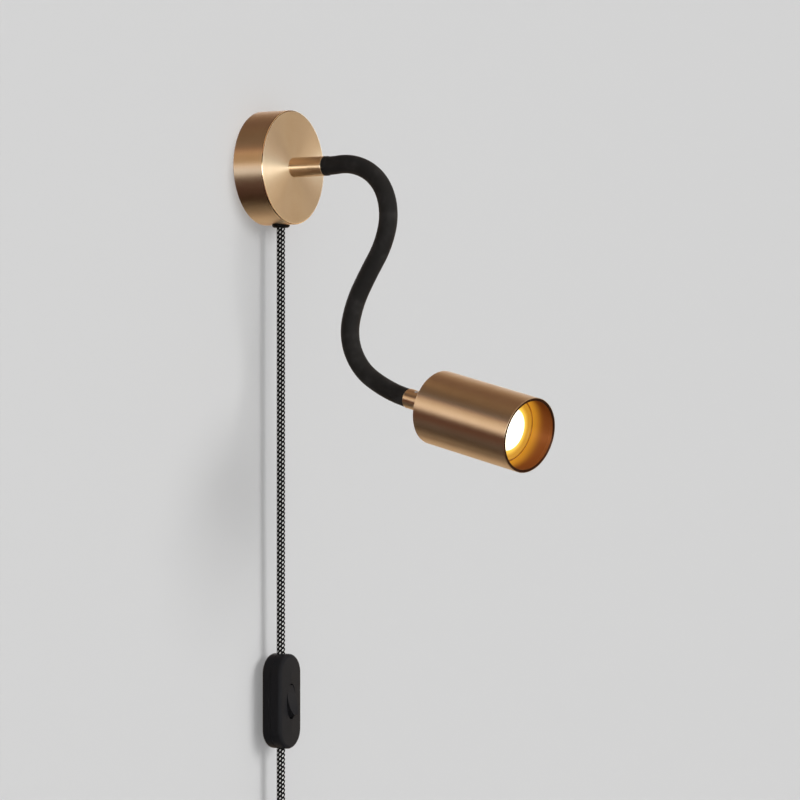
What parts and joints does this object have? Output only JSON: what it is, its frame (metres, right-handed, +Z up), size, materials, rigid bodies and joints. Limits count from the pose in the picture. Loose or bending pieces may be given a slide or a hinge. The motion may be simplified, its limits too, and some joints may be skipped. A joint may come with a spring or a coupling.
{
  "type": "gooseneck wall spotlight",
  "caption": "Plug-in wall spotlight: round wall canopy, flexible black arm, cylindrical head with recessed lamp, textile cord with rocker switch.",
  "frame": {"origin": "centre of the canopy's back on the wall, midway between the wall bracket's two slots", "axes": "+Z up the wall, +Y into the wall, +X to the right of someone facing the wall; the light projects towards -Y"},
  "size_m": [0.1182, 0.2621, 0.7344],
  "materials": {
    "satin_brass": "satin, finely turned",
    "plain_brass": "as machined",
    "plated_steel": "zinc plated",
    "spiral_steel": "oiled",
    "black_rubber": "matt",
    "textile_braid": "black and white braid",
    "lead_insulation": "smooth",
    "white_ceramic": "unglazed",
    "cream_plastic": "moulded",
    "black_plastic": "fine matt grain",
    "lamp_reflector": "satin",
    "lamp_lens": "diffusing, lit"
  },
  "bodies": {
    "wall_base": {"wall_bracket": "plated_steel", "bracket_nuts": "plain_brass", "hollow_nipple": "plated_steel", "canopy": "satin_brass", "stem": "satin_brass", "cord_grommet": "black_rubber", "cord_clamp": "white_ceramic", "bracket_screws": "plated_steel", "terminal_block": "cream_plastic", "terminal_contacts": "plain_brass", "canopy_wires": "lead_insulation", "cord_inlet": "textile_braid", "gooseneck_core_0": "spiral_steel", "arm_sleeve_0": "black_rubber", "switch_back_housing": "black_plastic", "switch_front_housing": "black_plastic", "switch_screws": "plated_steel", "switch_contacts": "plain_brass", "cord_upper": "textile_braid", "cord_lower": "textile_braid", "cord_coil": "textile_braid", "cord_tie": "black_plastic", "cord_tail": "textile_braid", "plug_body": "black_plastic", "plug_pins": "plated_steel", "plug_earth_clips": "plain_brass"},
    "arm_1": {"gooseneck_core_1": "spiral_steel", "arm_sleeve_1": "black_rubber"},
    "arm_2": {"gooseneck_core_2": "spiral_steel", "arm_sleeve_2": "black_rubber"},
    "arm_3": {"gooseneck_core_3": "spiral_steel", "arm_sleeve_3": "black_rubber"},
    "arm_4": {"gooseneck_core_4": "spiral_steel", "arm_sleeve_4": "black_rubber"},
    "arm_5": {"gooseneck_core_5": "spiral_steel", "arm_sleeve_5": "black_rubber"},
    "arm_6": {"gooseneck_core_6": "spiral_steel", "arm_sleeve_6": "black_rubber"},
    "arm_7": {"gooseneck_core_7": "spiral_steel", "arm_sleeve_7": "black_rubber"},
    "arm_8": {"gooseneck_core_8": "spiral_steel", "arm_sleeve_8": "black_rubber"},
    "arm_9": {"gooseneck_core_9": "spiral_steel", "arm_sleeve_9": "black_rubber"},
    "head": {"gooseneck_core_10": "spiral_steel", "arm_sleeve_10": "black_rubber", "head_ferrule": "satin_brass", "ferrule_grub_screw": "plated_steel", "head_shell": "satin_brass", "head_nipple": "plated_steel", "head_nut": "plain_brass", "holder_bracket": "plated_steel", "lamp_holder": "white_ceramic", "holder_screws": "plated_steel"},
    "lamp": {"lamp_base": "white_ceramic", "lamp_reflector": "lamp_reflector", "lamp_lens": "lamp_lens", "lamp_pins": "plated_steel"},
    "rocker": {"switch_rocker": "black_plastic"}
  },
  "joints": [
    {"name": "arm_turn_1", "type": "hinge", "parent": "wall_base", "child": "arm_1", "pos_m": [0, -0.06911, 0.00063], "axis": [0, 0.0958, 0.9954], "range_deg": [-48, 48], "deforming": ["gooseneck_core_0", "arm_sleeve_0", "gooseneck_core_1", "arm_sleeve_1"]},
    {"name": "arm_bend_2", "type": "hinge", "parent": "arm_1", "child": "arm_2", "pos_m": [0, -0.09443, -0.00464], "axis": [-1, 0, 0], "range_deg": [-11, 84], "deforming": ["gooseneck_core_1", "arm_sleeve_1", "gooseneck_core_2", "arm_sleeve_2"]},
    {"name": "arm_bend_3", "type": "hinge", "parent": "arm_2", "child": "arm_3", "pos_m": [0, -0.11116, -0.02416], "axis": [-1, 0, 0], "range_deg": [-11, 84], "deforming": ["gooseneck_core_2", "arm_sleeve_2", "gooseneck_core_3", "arm_sleeve_3"]},
    {"name": "arm_bend_4", "type": "hinge", "parent": "arm_3", "child": "arm_4", "pos_m": [0, -0.11284, -0.05], "axis": [-1, 0, 0], "range_deg": [-21, 75], "deforming": ["gooseneck_core_3", "arm_sleeve_3", "gooseneck_core_4", "arm_sleeve_4"]},
    {"name": "arm_turn_5", "type": "hinge", "parent": "arm_4", "child": "arm_5", "pos_m": [0, -0.10277, -0.07412], "axis": [0, 0.8434, 0.5373], "range_deg": [-48, 48], "deforming": ["gooseneck_core_4", "arm_sleeve_4", "gooseneck_core_5", "arm_sleeve_5"]},
    {"name": "arm_bend_6", "type": "hinge", "parent": "arm_5", "child": "arm_6", "pos_m": [0, -0.08937, -0.09669], "axis": [-1, 0, 0], "range_deg": [-55, 40], "deforming": ["gooseneck_core_5", "arm_sleeve_5", "gooseneck_core_6", "arm_sleeve_6"]},
    {"name": "arm_bend_7", "type": "hinge", "parent": "arm_6", "child": "arm_7", "pos_m": [0, -0.08012, -0.12117], "axis": [-1, 0, 0], "range_deg": [-67, 25], "deforming": ["gooseneck_core_6", "arm_sleeve_6", "gooseneck_core_7", "arm_sleeve_7"]},
    {"name": "arm_turn_8", "type": "hinge", "parent": "arm_7", "child": "arm_8", "pos_m": [0, -0.08264, -0.14688], "axis": [0, 0.9157, -0.4019], "range_deg": [-47, 47], "deforming": ["gooseneck_core_7", "arm_sleeve_7", "gooseneck_core_8", "arm_sleeve_8"]},
    {"name": "arm_bend_9", "type": "hinge", "parent": "arm_8", "child": "arm_9", "pos_m": [-0.00033, -0.09934, -0.16667], "axis": [0.9997, -0.0166, -0.0197], "range_deg": [-21, 75], "deforming": ["gooseneck_core_8", "arm_sleeve_8", "gooseneck_core_9", "arm_sleeve_9"]},
    {"name": "arm_turn_10", "type": "hinge", "parent": "arm_9", "child": "head", "pos_m": [-0.00232, -0.12269, -0.17834], "axis": [-0.0253, 0.3394, -0.9403], "range_deg": [-55, 40], "deforming": ["gooseneck_core_9", "arm_sleeve_9", "gooseneck_core_10", "arm_sleeve_10"]},
    {"name": "lamp_twist", "type": "hinge", "parent": "head", "child": "lamp", "pos_m": [-0.01623, -0.19141, -0.19513], "axis": [-0.1995, -0.9543, -0.2225], "range_deg": [0, 15]},
    {"name": "switch_rocker_tilt", "type": "hinge", "parent": "wall_base", "child": "rocker", "pos_m": [0, -0.0215, -0.421], "axis": [1, 0, 0], "range_deg": [0, 24]}
  ]
}
